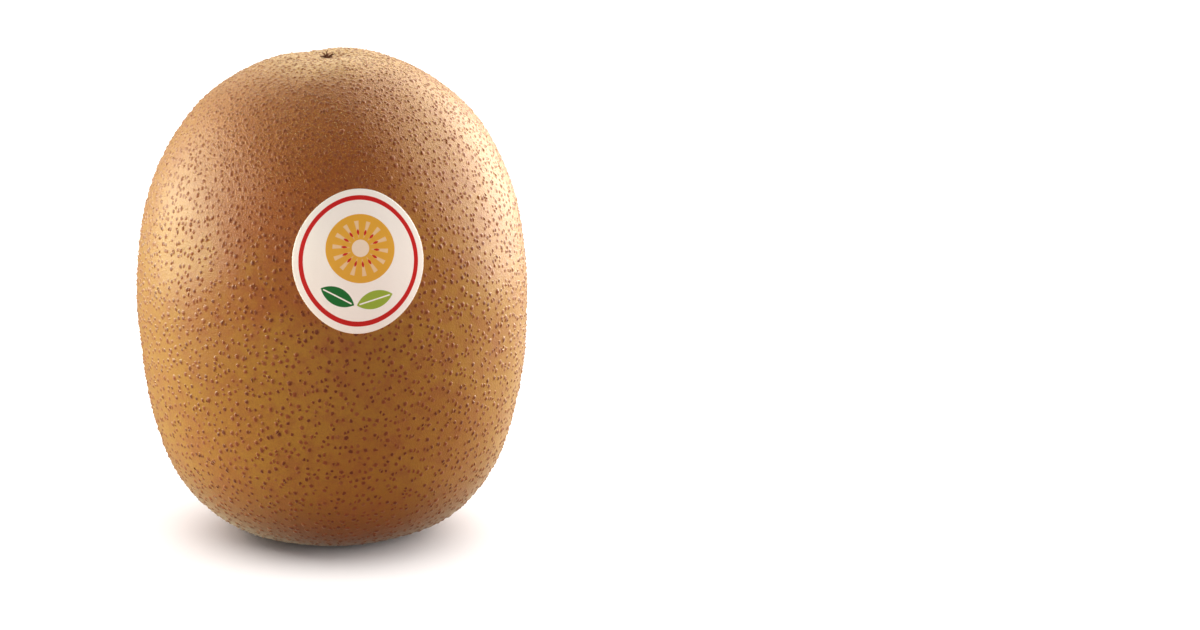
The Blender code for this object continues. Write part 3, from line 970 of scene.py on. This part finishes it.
class KIWI_OT_stage(bpy.types.Operator):
    """Make the white floor, the soft lights and the camera"""

    bl_idname = "kiwi.stage"
    bl_label = "Stage"

    def execute(self, context):
        scene = context.scene
        stage = scene.kiwi_stage
        scene.view_settings.view_transform = "Standard"
        corners = np.array(((-1, -1, 0), (1, -1, 0), (1, 1, 0), (-1, 1, 0))) * FLOOR_REACH
        floor = bpy.data.objects.new("floor", mesh_from("floor", corners, np.array([[0, 1, 2, 3]])))
        floor.data.materials.append(floor_material())
        floor.visible_glossy = False
        scene.collection.objects.link(floor)

        middle = Vector((0, 0, scene.kiwi_form.height / 2))
        warm, cream, pale = (0.98, 1.0, 0.77), (1.0, 0.98, 0.83), (1.0, 0.97, 0.95)
        left = self.lamp("left_light", -99, 13, (0.66, 0.36), stage.left_power, warm, middle)
        right = self.lamp("right_light", 120, 21, (0.66, 0.60), stage.right_power, cream, middle)
        back = self.lamp("back_light", 178, 46, (0.50, 0.36), stage.back_power, warm, middle)
        front = self.lamp("front_light", 10, 11, (0.90, 0.40), stage.front_power, pale, middle)
        front.visible_glossy = False
        sun = self.lamp("floor_light", 145, 53, None, stage.floor_sun, pale, middle)
        floor_only = bpy.data.collections.new("floor_only")
        floor_only.objects.link(floor)
        sun.light_linking.receiver_collection = floor_only
        all_but_floor = bpy.data.collections.new("all_but_floor")
        all_but_floor.objects.link(floor)
        all_but_floor.collection_objects[0].light_linking.link_state = "EXCLUDE"
        for lamp in (left, right, back):
            lamp.light_linking.receiver_collection = all_but_floor
        self.surround(scene)
        self.camera(scene, stage, middle)
        return {"FINISHED"}

    def lamp(self, name, azimuth, elevation, size, power, tint, middle):
        """A soft light that faces the fruit from degrees right of the front and degrees up.

        With a size it is a rectangular panel, and without one a broad sun.
        """
        light = bpy.data.lights.new(name, "AREA" if size else "SUN")
        light.energy = power
        light.color = tint
        if size:
            light.shape = "RECTANGLE"
            light.size, light.size_y = size
        else:
            light.angle = SUN_ANGLE
        away = Vector(direction(math.radians(90 - elevation), math.radians(azimuth - 90)))
        lamp = bpy.data.objects.new(name, light)
        lamp.location = middle + LAMP_DISTANCE * away
        lamp.rotation_euler = (-away).to_track_quat("-Z", "Y").to_euler()
        lamp.visible_camera = False
        bpy.context.scene.collection.objects.link(lamp)
        return lamp

    def surround(self, scene):
        """A surround that looks white and gives hardly any light of its own."""
        world = bpy.data.worlds.new("surround")
        world.use_nodes = True
        nodes, links = world.node_tree.nodes, world.node_tree.links
        background = nodes["Background"]
        seen = nodes.new("ShaderNodeLightPath").outputs["Is Camera Ray"]
        strength = nodes.new("ShaderNodeMapRange")
        strength.inputs["To Min"].default_value = SURROUND_STRENGTH
        links.new(seen, strength.inputs["Value"])
        links.new(strength.outputs[0], background.inputs["Strength"])
        background.inputs["Color"].default_value = (1.0, 1.0, 1.0, 1.0)
        scene.world = world

    def camera(self, scene, stage, middle):
        """A long lens in front of the fruit, turned about its own axes so that the fruit lies off centre."""
        lens = bpy.data.cameras.new("camera")
        lens.lens = stage.lens
        eye = bpy.data.objects.new("camera", lens)
        back = Vector((0.0, -math.cos(stage.elevation), math.sin(stage.elevation)))
        focal = stage.lens / lens.sensor_width * stage.frame_width
        right, up = stage.from_centre
        look = (-back).to_track_quat("-Z", "Y").to_matrix().to_4x4()
        yaw = Matrix.Rotation(math.atan2(right, focal), 4, "Y")
        pitch = Matrix.Rotation(-math.atan2(up, math.hypot(right, focal)), 4, "X")
        eye.matrix_world = Matrix.Translation(middle + back * stage.distance) @ look @ yaw @ pitch
        scene.collection.objects.link(eye)
        scene.camera = eye


GROUPS = {
    "kiwi_form": KiwiForm,
    "kiwi_skin": KiwiSkin,
    "kiwi_fibres": KiwiFibres,
    "kiwi_tuft": KiwiTuft,
    "kiwi_label": KiwiLabel,
    "kiwi_stage": KiwiStage,
}
OPERATORS = (KIWI_OT_skin, KIWI_OT_scar, KIWI_OT_fibres, KIWI_OT_tuft, KIWI_OT_label, KIWI_OT_stage)


class KIWI_PT_panel(bpy.types.Panel):
    """Lists the fruit's pieces and the sizes and colours that they are made from."""

    bl_label = "Kiwi Fruit"
    bl_idname = "KIWI_PT_panel"
    bl_space_type = "VIEW_3D"
    bl_region_type = "UI"
    bl_category = "Kiwi Fruit"

    def draw(self, context):
        for operator in OPERATORS:
            self.layout.operator(operator.bl_idname)
        for name, group in GROUPS.items():
            box = self.layout.box()
            for key in group.__annotations__:
                box.prop(getattr(context.scene, name), key)


def register():
    for kind in (*GROUPS.values(), *OPERATORS, KIWI_PT_panel):
        bpy.utils.register_class(kind)
    for name, group in GROUPS.items():
        setattr(bpy.types.Scene, name, bpy.props.PointerProperty(type=group))


def unregister():
    for name in GROUPS:
        delattr(bpy.types.Scene, name)
    for kind in reversed((*GROUPS.values(), *OPERATORS, KIWI_PT_panel)):
        bpy.utils.unregister_class(kind)


def main():
    """Makes every piece and the stage."""
    register()
    bpy.ops.kiwi.skin()
    bpy.ops.kiwi.scar()
    bpy.ops.kiwi.fibres()
    bpy.ops.kiwi.tuft()
    bpy.ops.kiwi.label()
    bpy.ops.kiwi.stage()


if __name__ == "__main__":
    main()
